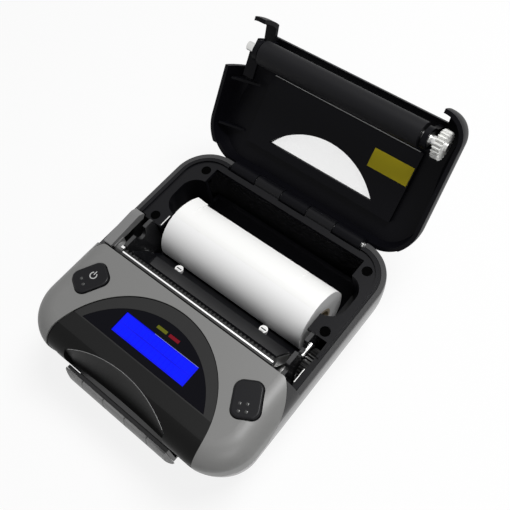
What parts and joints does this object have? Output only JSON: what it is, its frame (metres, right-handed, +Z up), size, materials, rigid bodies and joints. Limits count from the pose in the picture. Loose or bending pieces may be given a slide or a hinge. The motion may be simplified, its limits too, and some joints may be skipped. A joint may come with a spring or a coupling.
{
  "type": "receipt printer",
  "caption": "Portable thermal receipt printer with a clamshell cover stood open, a paper roll in its bucket, a print head, platen roller, round display, keys and a card reader slot.",
  "frame": {"origin": "middle of the case's flat bottom", "axes": "+X along the paper roll to the feed key side, +Y to the cover's hinge, +Z up"},
  "size_m": [0.1148, 0.1665, 0.0898],
  "materials": {
    "case_black": "satin",
    "deck_grey": "satin",
    "bezel": "fine texture",
    "gloss_black": "gloss",
    "lcd": "lit",
    "light_green": "lit",
    "light_red": "lit",
    "board": "satin",
    "key_rubber": "matte",
    "steel": "brushed",
    "aluminium": "satin",
    "gear_white": "satin",
    "gear_black": "satin",
    "platen_rubber": "matte",
    "pad_rubber": "matte",
    "paper": "matte",
    "lever_grey": "dotted",
    "window_clear": "gloss",
    "battery": "satin",
    "bronze": "satin"
  },
  "bodies": {
    "base": {"battery_door": "case_black", "battery_pack": "battery", "card_channel": "gloss_black", "card_guard": "deck_grey", "card_read_head": "steel", "display_board": "board", "display_lens": "gloss_black", "fault_light": "light_red", "front_bezel": "bezel", "gear_axle": "steel", "head_frame": "case_black", "hinge_pin": "steel", "inner_tray": "case_black", "key_switches": "gear_black", "lcd_module": "lcd", "lever_pin": "steel", "lower_case": "case_black", "main_board": "board", "ready_light": "light_green", "rubber_feet": "pad_rubber", "stepper_motor": "steel", "tear_bar": "steel", "top_deck": "deck_grey", "tray_screws": "steel"},
    "head": {"heat_sink": "aluminium", "thermal_head": "gloss_black", "head_cover": "case_black", "head_screws": "steel"},
    "drive": {"drive_gear": "gear_black"},
    "pinion": {"motor_pinion": "gear_black"},
    "cover": {"cover_shell": "case_black", "cover_liner": "case_black", "cover_window": "window_clear", "platen_bushes": "bronze"},
    "platen": {"platen_roller": "platen_rubber", "platen_shaft": "steel", "platen_gear": "gear_white"},
    "lever": {"open_lever": "lever_grey"},
    "roll": {"paper_roll": "paper", "roll_core": "paper"},
    "power_key": {"power_button": "key_rubber"},
    "feed_key": {"feed_button": "key_rubber"}
  },
  "joints": [
    {"name": "cover_hinge", "type": "hinge", "parent": "base", "child": "cover", "pos_m": [0, 0.0562, 0.038], "axis": [1, 0, 0], "range_deg": [0, 127]},
    {"name": "platen_spin", "type": "hinge", "parent": "cover", "child": "platen", "pos_m": [0, 0.08969, 0.07912], "axis": [1, 0, 0], "continuous": true},
    {"name": "roll_spin", "type": "hinge", "parent": "base", "child": "roll", "pos_m": [0, 0.0215, 0.0265], "axis": [1, 0, 0], "continuous": true},
    {"name": "drive_spin", "type": "hinge", "parent": "base", "child": "drive", "pos_m": [0, 0.00271, 0.02695], "axis": [1, 0, 0], "continuous": true},
    {"name": "motor_spin", "type": "hinge", "parent": "base", "child": "pinion", "pos_m": [0, -0.00594, 0.02089], "axis": [1, 0, 0], "continuous": true},
    {"name": "head_float", "type": "hinge", "parent": "base", "child": "head", "pos_m": [0, 0.00313, 0.02303], "axis": [1, 0, 0], "range_deg": [0, 1.5], "stiffness_Nm_per_rad": 0.8},
    {"name": "lever_lift", "type": "hinge", "parent": "base", "child": "lever", "pos_m": [0, -0.006, 0.0366], "axis": [1, 0, 0], "range_deg": [0, 22], "stiffness_Nm_per_rad": 0.06},
    {"name": "power_press", "type": "slide", "parent": "base", "child": "power_key", "axis": [0, 0, -1], "range_m": [0, 0.0008], "stiffness_N_per_m": 900},
    {"name": "feed_press", "type": "slide", "parent": "base", "child": "feed_key", "axis": [0, 0, -1], "range_m": [0, 0.0008], "stiffness_N_per_m": 900}
  ],
  "couplings": [
    {"joint": "motor_spin", "follows": "drive_spin", "ratio": -2.5}
  ]
}
